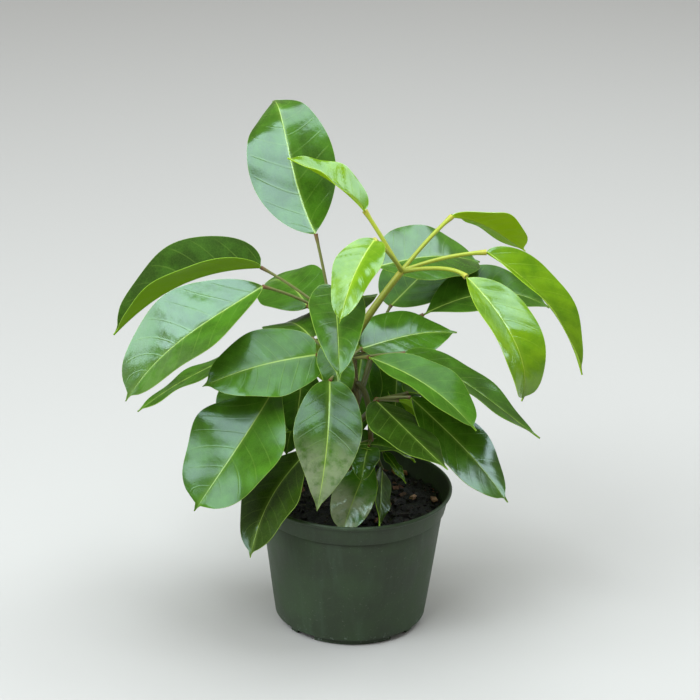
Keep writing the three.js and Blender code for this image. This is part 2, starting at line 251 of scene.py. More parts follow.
def leaf_material(name, deep, fresh, beneath, vein, rib, contrast):
    """Leaf with a pale midrib, faint side veins and a fine net: glossy above, matt beneath.

    The numbers stored on a blade deepen its green, with painted shade where its tone is below 0,
    dull it and lay a pale film over it, partly dust and partly painted sheen.
    """
    m = Finish(name)
    under = m.field("under")
    rib_gap = m.field("rib_gap")
    edge_gap = m.field("edge_gap")
    run = m.field("run")
    patch = m.noise(48, 4, 0.6).step(0.32, 0.68)
    green = m.blend(patch * 0.55 + m.field("tone") * 0.45, deep, fresh)
    # a tone below 0 paints shade: the green darkens towards a shaded olive
    green = m.blend(m.field("tone") * -0.5, green, colour("2a2c0c"))
    # the pale film over the outer half is partly dust and partly painted sheen, a pale
    # reflection laid into the colour
    dust_and_painted_sheen = m.noise(90, 4, 0.65).step(0.22, 0.6) * run.step(0.35, 0.7) * m.field("dust_and_painted_sheen")
    green = m.blend(dust_and_painted_sheen * 0.7, green, colour("8f9678"))
    off_vein = ((m.field("vein") + 0.5).fraction() - 0.5).size()
    side_vein = off_vein.step(0.012, 0.06, 1, 0) * edge_gap.step(0.5, 6) * (1 - 0.5 * run)
    grid = {"Scale": 420.0, "Vector": m.where()}
    net = m.node("TexVoronoi", {"feature": "DISTANCE_TO_EDGE"}, grid).step(0.0, 0.12, 1, 0)
    drawn = m.noise(30, 2, 0.5).step(0.35, 0.65, 0.35, 1)
    green = m.blend(side_vein * drawn * contrast + net * 0.05, green, vein)
    green = m.blend(rib_gap.step(0.6, 4.5, 0.16, 0), green, vein)
    middle = (rib_gap / (1.2 - 0.85 * run)).step(0.35, 0.8, 1, 0) * run.step(0.8, 1.0, 1, 0.2)
    green = m.blend(middle * 0.85, green, rib)
    green = m.blend(edge_gap.step(0.05, 0.4, 0.55, 0), green, rib)
    # the underside colour is partly the real paler underside and partly painted light shining
    # through the blade
    below = m.blend(side_vein * 0.3 + middle * 0.6 + net * 0.08, beneath, vein)
    grain = m.noise(700, 3, 0.6)
    waxy = m.noise(38, 3, 0.55).step(0.3, 0.7)
    height = grain * 0.05 - side_vein * 0.4 - middle * 0.4 - net * 0.06
    relief = m.bump(height, 0.0004, 0.45)
    m.done(
        Base_Color=green,
        Roughness=0.14 + 0.08 * waxy,
        Normal=relief,
        Specular_IOR_Level=0.65,
        Specular_Tint=SHEEN_TINT,
    )
    dull = {
        "Base Color": m.blend(under, green, below),
        "Roughness": 0.5,
        "Normal": relief,
        "Specular IOR Level": 0.06,
    }
    share = under.most(m.field("dull"))
    return m.over(share, m.node("BsdfPrincipled", None, dull))


def stalk_material(name, shade, joint, foot):
    """Smooth round stalk, redder at the joints and darker towards its foot."""
    m = Finish(name)
    fleck = m.noise(700, 2, 0.6).step(0.55, 0.75) * 0.35
    skin = m.blend(m.field("depth"), shade, foot)
    skin = m.blend(fleck, skin, foot)
    skin = m.blend(m.field("joint"), skin, joint)
    return m.done(
        Base_Color=skin,
        Roughness=0.4 + 0.15 * m.noise(300, 2, 0.5),
        Normal=m.bump(m.noise(500, 2, 0.5), 0.0003, 0.4),
    )


def bark_material():
    m = Finish("stem_bark")
    streak = m.noise(1, 4, 0.6, m.stretched((500, 500, 90)))
    skin = m.blend(streak.step(0.35, 0.7), colour("6c6434"), colour("4a3b22"))
    specks = m.noise(1, 1, 0.5, m.stretched((600, 600, 260))).step(0.62, 0.7)
    skin = m.blend(specks * 0.7, skin, colour("a2946a"))
    return m.done(Base_Color=skin, Roughness=0.75, Normal=m.bump(streak, 0.0008, 0.6))


def pot_material():
    """Dark green moulded plastic, a little cloudy and dusty, and scuffed at the foot."""
    m = Finish("pot_plastic")
    where = m.where()
    height = m.node("SeparateXYZ", None, {0: where}, output=2)
    cloud = m.noise(28, 4, 0.6).step(0.35, 0.7)
    streak = m.noise(1, 3, 0.6, m.stretched((120, 120, 12))).step(0.45, 0.75)
    plastic = m.blend(cloud, colour("2e3928"), colour("35452e"))
    plastic = m.blend(streak * 0.2, plastic, colour("465a47"))
    scuff = m.noise(160, 5, 0.7).step(0.56, 0.68) * height.step(0.004, 0.013, 1, 0)
    plastic = m.blend(scuff * 0.55, plastic, colour("93a197"))
    dust = m.noise(420, 3, 0.7).step(0.6, 0.75) * 0.18
    plastic = m.blend(dust, plastic, colour("8a8f80"))
    grain = m.noise(1400, 2, 0.5) + 0.8 * m.noise(180, 2, 0.5)
    return m.done(
        Base_Color=plastic,
        Roughness=0.46 + 0.14 * cloud + 0.2 * scuff,
        Normal=m.bump(grain, 0.0002, 0.35),
        Specular_IOR_Level=0.3,
    )


def mix_material():
    """Dark damp peat."""
    m = Finish("potting_mix")
    lump = m.noise(220, 6, 0.7)
    earth = m.blend(lump.step(0.35, 0.7), colour("060403"), colour("150f0b"))
    return m.done(
        Base_Color=earth,
        Roughness=lump.step(0.3, 0.7, 0.65, 0.95),
        Normal=m.bump(lump + 0.4 * m.noise(900, 3, 0.6), 0.002, 0.9),
    )


def crumb_material():
    """Crumbs of peat and bark: the tone of each runs from black peat to pale bark."""
    m = Finish("bark_crumbs")
    tone = m.field("tone")
    bark = m.blend(tone.step(0.0, 0.6), colour("0c0907"), colour("2b1d14"))
    bark = m.blend(tone.step(0.75, 0.98), bark, colour("74492f"))
    streak = m.noise(1, 4, 0.7, m.stretched((260, 900, 900))).step(0.35, 0.7)
    bark = m.blend(streak * 0.5, bark, colour("1c130e"))
    return m.done(Base_Color=bark, Roughness=0.7, Normal=m.bump(streak, 0.0008, 0.8))


def chip_material():
    """Larger chips of fresh bark, orange to pale brown."""
    m = Finish("bark_chips")
    tone = m.field("tone")
    bark = m.blend(tone, colour("b5652c"), colour("c9a184"))
    streak = m.noise(1, 4, 0.7, m.stretched((200, 800, 800))).step(0.35, 0.7)
    bark = m.blend(streak * 0.6, bark, colour("5a2f18"))
    return m.done(Base_Color=bark, Roughness=0.75, Normal=m.bump(streak, 0.001, 0.8))


def floor_material():
    m = Finish("floor")
    return m.done(Base_Color=(0.43, 0.4, 0.385, 1), Roughness=0.8)


# ---- mesh building --------------------------------------------------------------------


class Skin:
    """The points and faces of one piece, with the numbers stored on its points."""

    def __init__(self, *fields):
        self.points = []
        self.faces = []
        self.fields = {field: [] for field in fields}

    def point(self, place, **numbers):
        self.points.append(place)
        for field, store in self.fields.items():
            store.append(numbers.get(field, 0.0))
        return len(self.points) - 1

    def band(self, first, second, closed=True):
        """Faces between two rows of points."""
        count = len(first)
        for i in range(count if closed else count - 1):
            j = (i + 1) % count
            self.faces.append((first[i], first[j], second[j], second[i]))

    def cap(self, row):
        self.faces.append(tuple(row))

    def piece(self, name, material, slot, nodes, crease=38):
        """Makes the piece; edges sharper than the crease angle stay sharp."""
        mesh = bpy.data.meshes.new(name)
        mesh.from_pydata([tuple(p * MM) for p in self.points], [], self.faces)
        for field, store in self.fields.items():
            mesh.attributes.new(field, "FLOAT", "POINT").data.foreach_set("value", store)
        mesh.materials.append(material)
        mesh.shade_smooth()
        mesh.set_sharp_from_angle(angle=math.radians(crease))
        made = bpy.data.objects.new(name, mesh)
        bpy.context.scene.collection.objects.link(made)
        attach(made, "root")
        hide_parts(*nodes)
        return made


def bezier(points, t):
    """A point of the Bezier curve, with t from 0 to 1 along it."""
    while len(points) > 1:
        points = [a.lerp(b, t) for a, b in zip(points, points[1:])]
    return points[0]


def bezier_way(points, t):
    """The direction of the curve at that point."""
    return bezier([b - a for a, b in zip(points, points[1:])], t).normalized()


def tube(skin, path, radius, sides, steps, numbers):
    """A round tube along a Bezier path. radius and numbers are functions of the way along."""
    side = bezier_way(path, 0).orthogonal().normalized()
    rows = []
    for i in range(steps + 1):
        u = i / steps
        way = bezier_way(path, u)
        side = (side - way * way.dot(side)).normalized()
        other = way.cross(side)
        centre = bezier(path, u)
        row = []
        for k in range(sides):
            angle = 2 * math.pi * k / sides
            spoke = side * math.cos(angle) + other * math.sin(angle)
            row.append(skin.point(centre + spoke * radius(u), **numbers(u)))
        rows.append(row)
    for first, second in zip(rows, rows[1:]):
        skin.band(first, second)
    skin.cap(reversed(rows[0]))
    skin.cap(rows[-1])


BALL_ROWS = 6
BALL_SIDES = 10


def ball(skin, centre, radii, **numbers):
    """A rounded lump with its own reach along each axis."""

    def place(x, y, z):
        return centre + Vector((x * radii[0], y * radii[1], z * radii[2]))

    south = skin.point(place(0, 0, -1), **numbers)
    rings = []
    for i in range(1, BALL_ROWS):
        a = math.pi * i / BALL_ROWS
        ring = []
        for k in range(BALL_SIDES):
            b = 2 * math.pi * k / BALL_SIDES
            x, y = math.sin(a) * math.cos(b), math.sin(a) * math.sin(b)
            ring.append(skin.point(place(x, y, -math.cos(a)), **numbers))
        rings.append(ring)
    north = skin.point(place(0, 0, 1), **numbers)
    for k in range(BALL_SIDES):
        j = (k + 1) % BALL_SIDES
        skin.faces.append((south, rings[0][j], rings[0][k]))
        skin.faces.append((north, rings[-1][k], rings[-1][j]))
    for first, second in zip(rings, rings[1:]):
        skin.band(first, second)


# ---- leaflets -------------------------------------------------------------------------

BLADE_THICKNESS = 0.5
BLADE_ROWS = 44
SIDE_VEINS = 8
QUILT = 1.1  # how far the blade bulges between its side veins
SWAY = 1.1  # how far it waves at random towards its edges
RIDGE_WIDTH = 0.9
RIDGE = 0.8  # how far the midrib stands out beneath
GROOVE = 0.2  # how deep it lies above
ACROSS = (0, 0.03, 0.09, 0.2, 0.34, 0.5, 0.66, 0.82, 0.93, 1)


def leaflet(joint, tip, width, **shape):
    """Where the stalk meets the blade, the tip and the width; the shape is as in the CAD."""
    usual = dict(
        lift=25, hook=25, swing=0, roll=0, fold=12, wave=1.2,
        heel=0.85, toe=0.62, belly=0.75, lobe=0.05, arch=0.15, crinkle=1,
    )
    usual.update(shape)
    return SimpleNamespace(joint=Vector(joint), tip=Vector(tip), width=width, **usual)


def outline(leaf, t):
    """Half-width from stalk to tip, from 0 to 1: full in the middle with a drip tip."""
    along = min(1, max(0, t / 0.95))
    power = leaf.heel + (leaf.toe - leaf.heel) * along
    full = math.sin(math.pi * along**leaf.belly) ** power if 0 < along < 1 else 0
    drip = 0.2 * min(1, (1 - t) / 0.14) * min(1, t / 0.3)
    return math.hypot(full, drip)


def rib_frame(leaf):
    """The midrib's curve, the way the blade spreads from it, its first direction and length."""
    chord = leaf.tip - leaf.joint
    length = chord.length
    along = chord / length
    rise = (UP - along * along.z).normalized()
    side = along.cross(rise)
    lift = math.radians(leaf.lift)
    hook = math.radians(leaf.hook)
    start = along * math.cos(lift) + rise * math.sin(lift)
    end = along * math.cos(hook) - rise * math.sin(hook)
    bow = side * (4 / 3 * leaf.swing)
    pull = 0.38 * length
    rib = [leaf.joint, leaf.joint + start * pull + bow, leaf.tip - end * pull + bow, leaf.tip]
    return SimpleNamespace(rib=rib, side=side, start=start, length=length)


def blade_point(leaf, line, seed, t, s):
    """The middle of the blade's thickness, its normal and the numbers for its finish."""
    along = bezier_way(line.rib, t)
    across = (line.side - along * along.dot(line.side)).normalized()
    across = Matrix.Rotation(-math.radians(leaf.roll), 3, along) @ across
    out = across.cross(along)
    b = abs(s)
    hand = 1 if s > 0 else -1
    reach = outline(leaf, t)
    half = max(0.3, leaf.width / 2 * reach)
    fold = math.radians(leaf.fold)
    back = 2 * leaf.lobe * line.length * b**1.5 * max(0, 1 - t / 0.35) ** 2 * reach
    wobble = noise.noise(Vector((3 * t, 0.8 * s, seed)))
    ripple = leaf.wave * b * b * math.sin(2 * math.pi * (2.3 * t + 0.15 * hand))
    vein = SIDE_VEINS * t - 1.5 * b**1.25 + (0.5 if s > 0 else 0) + 0.3 * wobble
    quilt = QUILT * math.sin(math.pi * vein) ** 2 * (b * (1 - b)) ** 0.5
    sway = SWAY * noise.noise(Vector((2.2 * t, 1.6 * s, seed + 40)))
    crinkle = leaf.crinkle * math.sin(math.pi * t) * (quilt + sway * b)
    normal = out * math.cos(fold) - across * (hand * math.sin(fold)) if b else out
    point = bezier(line.rib, t) + across * (s * half * math.cos(fold)) - along * back
    point += out * (b * half * math.sin(fold) + ripple + crinkle)
    numbers = dict(run=t, vein=vein, rib_gap=b * half, edge_gap=(1 - b) * half)
    return point, normal, numbers


def add_blade(skin, leaf, seed, look):
    """A thin closed blade with a groove over the midrib and a ridge beneath it."""
    line = rib_frame(leaf)
    fractions = [-b for b in reversed(ACROSS[1:])] + list(ACROSS)
    tops, bottoms = [], []
    for i in range(BLADE_ROWS + 1):
        u = i / BLADE_ROWS
        t = 0.5 * u + 0.25 * (1 - math.cos(math.pi * u))
        top, bottom = [], []
        for s in fractions:
            point, normal, numbers = blade_point(leaf, line, seed, t, s)
            ridge = math.exp(-((numbers["rib_gap"] / RIDGE_WIDTH) ** 2)) * (1 - t) ** 0.6
            upper = point + normal * (BLADE_THICKNESS / 2 - GROOVE * ridge)
            lower = point - normal * (BLADE_THICKNESS / 2 + RIDGE * ridge)
            top.append(skin.point(upper, **look, **numbers))
            bottom.append(skin.point(lower, under=1.0, **look, **numbers))
        tops.append(top)
        bottoms.append(bottom)
    for i in range(BLADE_ROWS):
        skin.band(tops[i + 1], tops[i], closed=False)
        skin.band(bottoms[i], bottoms[i + 1], closed=False)
        for edge, swap in ((0, False), (-1, True)):
            corners = [tops[i][edge], tops[i + 1][edge], bottoms[i + 1][edge], bottoms[i][edge]]
            skin.faces.append(tuple(reversed(corners) if swap else corners))
    skin.band(tops[0], bottoms[0], closed=False)
    skin.band(bottoms[-1], tops[-1], closed=False)


# ---- fronds ---------------------------------------------------------------------------

STEM_RADIUS = 4.5
STEM_ROUTE = [
    (0, 0, 45), (0, 0, 80), (0, 0, 112), (2, 2, 150), (0, 4, 195), (-4, 4, 240),
]

L = leaflet
FRONDS = {
    "frond_crown": dict(
        root=240, bend=(6, 4, 264), hub=(36, 10, 304), petiole=2.7, stalk=1.7, crinkle=1.8,
        leaves=[
            L((5, 25, 350), (-58, 36, 389), 42, lift=15, hook=12, fold=25, heel=0.9),
            L((76, 45, 339), (141, 112, 285), 41, lift=14, hook=6, roll=25, fold=20, heel=1,
              toe=0.45, belly=1.1, lobe=0.2),
            L((104, 15, 320), (184, -5, 223), 42, lift=22, roll=-15, fold=35, heel=0.9,
              arch=0.2),
            L((87, -20, 312), (132, -70, 227), 47, lift=30, hook=60, roll=-5, fold=22,
              heel=1.1, toe=0.35, belly=0.9, arch=0.3),
            L((13, -35, 347), (-13, -105, 304), 38, lift=20, heel=1, toe=0.5),
        ],
    ),
    "frond_upper": dict(
        root=222, bend=(-12, 3, 240), hub=(-19, 0, 267),
        leaves=[
            L((-34, 20, 331), (-72, 116, 411), 76, lift=-5, hook=60, fold=-23, roll=20,
              swing=-6, heel=1.15, toe=0.34, belly=0.9, crinkle=1.3),
            L((-40, 45, 258), (-77, 125, 246), 58, fold=0, roll=22),
            L((-78, 15, 303), (-197, 15, 241), 66, hook=22, fold=50, roll=10, heel=0.8,
              toe=0.65),
            L((-75, -25, 302), (-182, -60, 215), 76, lift=8, hook=20, roll=22, fold=22,
              heel=0.95, toe=0.5, belly=0.95, crinkle=1.6),
            L((-18, -35, 306), (-12, -125, 265), 48, lift=10, hook=30, fold=25),
            L((16, 45, 294), (103, 115, 273), 66, lift=10, hook=15, roll=-25, fold=11,
              toe=0.42, belly=0.9),
            L((-14, 44, 266), (-4, 140, 204), 54, lift=5, hook=35),
        ],
    ),
    "frond_middle": dict(
        root=200, bend=(-4, -12, 215), hub=(-7, -15, 236),
        leaves=[
            L((-36, 15, 242), (-69, 90, 216), 52, fold=5, roll=10),
            L((-32, -30, 246), (-121, -60, 229), 62, lift=8, hook=10, roll=36, fold=2,
              lobe=0.08, heel=0.6),
            L((-58, -25, 228), (-126, -82, 130), 83, lift=0, hook=5, roll=18, fold=10,
              swing=-4, wave=3, heel=1.2, toe=0.42, belly=1.2),
            L((-20, -55, 234), (-28, -100, 141), 54, fold=6, swing=-5, toe=1),
            L((11, -40, 249), (96, -95, 211), 50, lift=15, hook=20, roll=-3, fold=17,
              heel=0.9, toe=0.4, belly=1.05),
            L((40, -20, 245), (150, -40, 181), 56, lift=14, hook=5, fold=8, roll=4),
            L((5, 0, 240), (83, 35, 241), 60, lift=8, hook=15, fold=5, roll=-18, toe=0.8),
            L((16, 18, 232), (66, 50, 224), 40, lift=8, hook=15),
            L((-22, -22, 250), (-10, -60, 212), 30),
        ],
    ),
    "frond_back": dict(
        root=185, bend=(10, 34, 200), hub=(18, 60, 230),
        leaves=[
            L((29, 76, 248), (90, 164, 268), 60, lift=5, hook=15, fold=5, roll=-12),
            L((56, 62, 246), (162, 97, 240), 66, lift=26, hook=35, roll=-12, heel=1.3,
              toe=0.45, belly=1),
            L((36, 76, 224), (52, 142, 160), 50),
            L((10, 86, 226), (-2, 156, 168), 56),
            L((6, 60, 212), (0, 38, 142), 44, lift=8),
            L((36, 60, 214), (34, 34, 156), 46, lift=8),
        ],
    ),
    "frond_right": dict(
        root=172, bend=(10, -22, 188), hub=(18, -30, 208),
        leaves=[
            L((18, -50, 215), (74, -115, 186), 58, lift=0, hook=0, fold=-7, roll=11, heel=0.8,
              toe=0.9),
            L((45, -40, 215), (125, -60, 133), 60, lift=5, hook=10, fold=2, roll=-17, toe=0.5,
              belly=1),
            L((43, -6, 204), (76, 26, 164), 40),
            L((35, -12, 200), (60, 25, 150), 44),
        ],
    ),
    "frond_low": dict(
        root=208, bend=(13, -4, 212), hub=(14, -12, 164),
        leaves=[
            L((-3, -23, 163), (51, -6, 142), 44),
            L((12, -30, 166), (7, -60, 148), 24),
            L((17, -16, 154), (-8, -69, 106), 36, lift=10, hook=10, roll=14, fold=16, toe=0.4,
              belly=1.5, crinkle=1.5),
            L((24, -15, 139), (22, -69, 113), 24, roll=60, lift=10, hook=10),
            L((25, -15, 155), (43, -45, 141), 10, lift=5, hook=10),
            L((25, 5, 160), (45, 55, 128), 40),
        ],
    ),
    "frond_left": dict(
        root=150, bend=(-8, -12, 158), hub=(-15, -20, 174),
        leaves=[
            L((-39, -45, 165), (-81, -85, 91), 62, lift=15, hook=15, swing=4, fold=5, roll=-5,
              heel=0.9, belly=0.9, crinkle=1.6),
            L((-45, -8, 172), (-105, 5, 118), 52),
            L((-42, 34, 178), (-55, 12, 138), 34),
            L((-42, 4, 219), (-47, -14, 166), 40, lift=8, hook=10),
        ],
    ),
    "frond_rear": dict(
        root=160, bend=(-25, 20, 185), hub=(-58, 50, 221),
        leaves=[
            L((-95, 60, 210), (-180, 40, 162), 46, lift=5, hook=10, roll=-10, fold=0),
            L((-80, 78, 200), (-105, 120, 145), 46),
            L((-62, 90, 208), (-74, 160, 155), 48, lift=8),
            L((-40, 75, 215), (-25, 120, 155), 46),
            L((-75, 40, 200), (-105, -5, 150), 46),
        ],
    ),
}


LEAF_LOOKS = {
    # for each leaflet of a frond: its tone, from painted shade at -1 to fresh green at 1, how
    # dull it is and, where it has one, how much pale film, partly dust and partly painted sheen,
    # lies over its outer half
    "frond_crown": ((0.6, 0), (0.7, 0), (0.5, 0), (0.5, 0), (0.6, 0)),
    "frond_upper": (
        (0.35, 0), (0.9, 0.7), (-0.3, 1), (0.5, 0.15, 0.15), (0.4, 0.5), (0.8, 0),
    ),
    "frond_middle": (
        (0.3, 0.5), (1, 0.55), (0.8, 0.5), (0, 0.65, 0.9), (1, 0.8), (0.5, 0.5), (0.6, 0),
        (0.3, 0.6), (0.2, 0.7),
    ),
    "frond_back": ((0.6, 0.9), (0.4, 0.8)),
    "frond_right": ((-0.4, 0.8), (0.3, 0)),
    "frond_low": ((0.1, 0.5), (0.1, 0.5), (1, 0.3, 1.4), (-0.4, 0.5), (0.1, 0.5)),
    "frond_left": ((-0.65, 0.5),),
}
HIDDEN_LOOK = (0.3, 0.8)


def stem_at(height):
    """The point on the middle line of the stem at a height."""
    for low, high in zip(STEM_ROUTE, STEM_ROUTE[1:]):
        if height <= high[2]:
            share = (height - low[2]) / (high[2] - low[2])
            return Vector(low).lerp(Vector(high), share)
    return Vector(STEM_ROUTE[-1])


PETIOLE_RADIUS = 2.2
PETIOLE_SIDES = 14
PETIOLE_STEPS = 24
HUB_SWELL = 1.1
STALK_RADIUS = 1.2
STALK_SIDES = 10
STALK_STEPS = 16
FULL_ARCH = 0.3  # a stalk that arches less is drawn in towards its hub
DRAWN_IN = 0.4
JOINT_SWELL = 0.45
JOINT_REACH = 0.09
STAIN_REACH = 0.07
HUB_STAIN_REACH = 0.06


def near_end(u, reach):
    """1 at the far end of a stalk, falling away within its reach, as a share of the stalk."""
    return math.exp(-(((1 - u) / reach) ** 2))


def swelling(u, thin):
    """Radius of a stalk that swells at both its joints."""
    joints = near_end(1 - u, JOINT_REACH) + near_end(u, JOINT_REACH)
    return thin * (1 + JOINT_SWELL * joints)


def joint_stain(u):
    """A stain at the leaflet's joint, and a darker foot."""
    return dict(joint=0.8 * near_end(u, STAIN_REACH), depth=0.5 * (1 - u) ** 2)


def petiole_stain(u):
    """A stain at the hub, and a skin that darkens towards the stem."""
    return dict(joint=0.7 * near_end(u, HUB_STAIN_REACH), depth=1 - 0.55 * u)


def add_frond(name, frond, number, materials, slot):
    """One frond in two pieces: its blades, and its petiole, hub and stalks."""
    leaf_finish, stalk_finish = materials
    hub = Vector(frond["hub"])
    stalks = Skin("joint", "depth")
    thick = frond.get("petiole", PETIOLE_RADIUS)
    thin = frond.get("stalk", STALK_RADIUS)

    def petiole_radius(u):
        return thick * (1.25 - 0.25 * u)

    def stalk_radius(u):
        return swelling(u, thin)

    petiole = [stem_at(frond["root"]), Vector(frond["bend"]), hub]
    tube(stalks, petiole, petiole_radius, PETIOLE_SIDES, PETIOLE_STEPS, petiole_stain)
    bulge = HUB_SWELL * thick
    ball(stalks, hub, (bulge, bulge, thick), joint=0.9, depth=0.3)
    blades = Skin("run", "vein", "rib_gap", "edge_gap", "tone", "dull", "dust_and_painted_sheen", "under")
    looks = LEAF_LOOKS.get(name, ())
    for index, leaf in enumerate(frond["leaves"]):
        line = rib_frame(leaf)
        reach = (leaf.joint - hub).length
        bend = leaf.joint - line.start * (leaf.arch * reach)
        if leaf.arch < FULL_ARCH:
            bend = bend.lerp(hub, DRAWN_IN)
        stalk = [hub, bend, leaf.joint]
        tube(stalks, stalk, stalk_radius, STALK_SIDES, STALK_STEPS, joint_stain)
        seed = 10 * number + index
        look = looks[index] if index < len(looks) else HIDDEN_LOOK
        leaf.crinkle *= frond.get("crinkle", 1)
        add_blade(blades, leaf, seed, dict(zip(("tone", "dull", "dust_and_painted_sheen"), look)))
    blades.piece(name + "_leaflets", leaf_finish, slot, [name])
    stalks.piece(name + "_stalks", stalk_finish, slot, [name])


def add_fronds():
    # the colours beneath are partly the paler underside and partly painted light shining through
    # the blades
    old_leaf = leaf_material(
        "mature_leaf", deep=colour("29440a"), fresh=colour("46721a"),
        beneath=colour("7ca812"), vein=colour("82a040"), rib=colour("98b052"), contrast=0.2,
    )
    new_leaf = leaf_material(
        "young_leaf", deep=colour("477004"), fresh=colour("749608"),
        beneath=colour("a4cc10"), vein=colour("98b238"), rib=colour("a8bc48"), contrast=0.16,
    )
    old_stalk = stalk_material(
        "mature_stalk", colour("66692f"), colour("6d3524"), colour("4d4a26")
    )
    new_stalk = stalk_material(
        "young_stalk", colour("9ca628"), colour("b0a434"), colour("66661c")
    )
    for number, (name, frond) in enumerate(FRONDS.items()):
        young = name == "frond_crown"
        materials = (new_leaf, new_stalk) if young else (old_leaf, old_stalk)
        add_frond(name, frond, number, materials, "young_leaf" if young else "mature_leaf")


STEM_SIDES = 20
STEM_STEPS = 90
SCAR_HEIGHT = 0.25
SCAR_PHASE = 0.45  # radians of the rings' wave for each millimetre up the stem


def add_stem():
    """A round stem with the rings of old leaf scars."""
    stem = Skin()
    rows = []
    foot, top = STEM_ROUTE[0][2], STEM_ROUTE[-1][2]
    for i in range(STEM_STEPS + 1):
        height = foot + (top - foot) * i / STEM_STEPS
        centre = stem_at(height)
        ring = SCAR_HEIGHT * max(0, math.sin(height * SCAR_PHASE)) ** 6
        radius = STEM_RADIUS - SCAR_HEIGHT + ring
        row = []
        for k in range(STEM_SIDES):
            angle = 2 * math.pi * k / STEM_SIDES
            spoke = Vector((math.cos(angle), math.sin(angle), 0))
            bumpy = 0.18 * noise.noise(3 * spoke + UP * (height / 9))
            row.append(stem.point(centre + spoke * (radius + bumpy)))
        rows.append(row)
    for first, second in zip(rows, rows[1:]):
        stem.band(first, second)
    stem.cap(reversed(rows[0]))
    stem.cap(rows[-1])
    ball(stem, Vector(STEM_ROUTE[-1]), (STEM_RADIUS, STEM_RADIUS, STEM_RADIUS))
    stem.piece("stem_bark", bark_material(), "stem_bark", ["stem"])


# ---- pot ------------------------------------------------------------------------------

POT_HEIGHT = 118
RIM_RADIUS = 82.5
BASE_RADIUS = 62
WALL_FLARE = 0.133
WALL = 1.8
BAND_HEIGHT = 100
BAND_STEP = 1.8
LIP = 3.2
CORNER = 1.2
FOOT_RADIUS = 59.2
FOOT_HEIGHT = 5
FLOOR = 7.4
DRAIN_TURNS = (41, 66, 114, 139)
DRAIN_SKEW = 3
DRAIN_WIDTH = 18
DRAIN_HEIGHT = 4.6
DRAIN_REACH = 50
DRAIN_HOLE = 3
DRAIN_HOLE_SIDES = 24
POT_SIDES = 160


def wall_radius(z):
    return BASE_RADIUS + WALL_FLARE * z


def arc(cx, cz, radius, start, end, count):
    """Points of a round stretch of the profile, between two angles in degrees."""
    angles = [math.radians(start + (end - start) * i / count) for i in range(count + 1)]
    return [(cx + radius * math.cos(a), cz + radius * math.sin(a)) for a in angles]


def pot_profile():
    """Radius and height round the wall: under the base, up the outside, and down the inside."""
    band_foot = wall_radius(BAND_HEIGHT) + BAND_STEP
    lip_foot = POT_HEIGHT - LIP
    bead = LIP / 2
    return [
        (0, 0),
        (38, 0),
        (FOOT_RADIUS - 0.8, 0),
        (FOOT_RADIUS, 0.8),
        (FOOT_RADIUS, FOOT_HEIGHT),
        *arc(BASE_RADIUS + 0.6 - CORNER, FOOT_HEIGHT + CORNER, CORNER, -80, 0, 6),
        (wall_radius(20), 20),
        (wall_radius(50), 50),
        (wall_radius(80), 80),
        (wall_radius(BAND_HEIGHT - 3), BAND_HEIGHT - 3),
        (wall_radius(BAND_HEIGHT) - 0.7, BAND_HEIGHT - 1.9),
        (wall_radius(BAND_HEIGHT) - 0.8, BAND_HEIGHT - 0.4),
        (band_foot - 0.4, BAND_HEIGHT - 0.2),
        (band_foot, BAND_HEIGHT + 0.3),
        (RIM_RADIUS - LIP + 0.6, lip_foot - 0.6),
        *arc(RIM_RADIUS - bead, POT_HEIGHT - bead, bead, -70, 130, 12),
        (RIM_RADIUS - LIP - 0.1, POT_HEIGHT - 2),
        (band_foot - WALL, BAND_HEIGHT + 1),
        (wall_radius(BAND_HEIGHT) - WALL - 0.6, BAND_HEIGHT - 2),
        (wall_radius(50) - WALL, 50),
        (wall_radius(FLOOR) - WALL, FLOOR),
        (0, FLOOR),
    ]


def turned(skin, profile, sides):
    """A body of revolution; the profile starts and ends on the axis."""
    rows = []
    for r, z in profile[1:-1]:
        row = []
        for k in range(sides):
            angle = 2 * math.pi * k / sides
            row.append(skin.point(Vector((r * math.cos(angle), r * math.sin(angle), z))))
        rows.append(row)
    for first, second in zip(rows, rows[1:]):
        skin.band(first, second)
    for row, z, flip in ((rows[0], profile[0][1], True), (rows[-1], profile[-1][1], False)):
        middle = skin.point(Vector((0, 0, z)))
        for k in range(sides):
            j = (k + 1) % sides
            face = (row[k], row[j], middle)
            skin.faces.append(tuple(reversed(face)) if flip else face)


def drain_cutter():
    """The channels under the base and the holes above their inner ends, as one mesh."""
    mesh = bmesh.new()
    length = RIM_RADIUS - DRAIN_REACH
    for angle in [side * turn for turn in DRAIN_TURNS for side in (1, -1)]:
        turn = Matrix.Rotation(math.radians(angle + DRAIN_SKEW - 90), 4, "Z")
        size = Matrix.Diagonal((length, DRAIN_WIDTH, 2 * DRAIN_HEIGHT, 1))
        middle = Matrix.Translation((DRAIN_REACH + length / 2, 0, 0))
        bmesh.ops.create_cube(mesh, size=1, matrix=turn @ middle @ size)
        hole = Matrix.Translation((DRAIN_REACH + 2 * DRAIN_HOLE, 0, 0))
        bmesh.ops.create_cone(
            mesh, cap_ends=True, segments=DRAIN_HOLE_SIDES, radius1=DRAIN_HOLE,
            radius2=DRAIN_HOLE, depth=4 * FLOOR, matrix=turn @ hole,
        )
    bmesh.ops.scale(mesh, vec=(MM, MM, MM), verts=mesh.verts)
    data = bpy.data.meshes.new("drain_cutter")
    mesh.to_mesh(data)
    mesh.free()
    cutter = bpy.data.objects.new("drain_cutter", data)
    bpy.context.scene.collection.objects.link(cutter)
    return cutter


